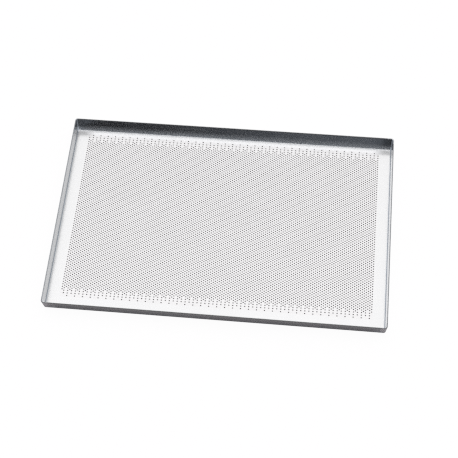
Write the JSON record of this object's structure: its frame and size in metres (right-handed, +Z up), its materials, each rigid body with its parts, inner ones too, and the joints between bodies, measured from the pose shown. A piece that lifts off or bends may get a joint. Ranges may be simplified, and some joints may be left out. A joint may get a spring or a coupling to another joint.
{
  "type": "baguette tray",
  "caption": "Shallow perforated aluminium baking tray with low, slightly leaning sides and rounded corners, for baking and carrying bread in ovens and racks.",
  "frame": {"origin": "on the surface the tray stands on, under the middle of its rim", "axes": "+X along the long sides, +Y from the front to the back, +Z up out of the tray"},
  "size_m": [0.6, 0.4, 0.028],
  "materials": {
    "sheet": "bright rolled sheet with a fine grain along its length, satin, bare",
    "corner": "closed corner dressed smooth, finely brushed round the bend, bare"
  },
  "bodies": {
    "root": {"floor_panel": "sheet", "front_side": "sheet", "back_side": "sheet", "left_side": "sheet", "right_side": "sheet", "front_left_corner": "corner", "front_right_corner": "corner", "back_left_corner": "corner", "back_right_corner": "corner"}
  },
  "joints": []
}
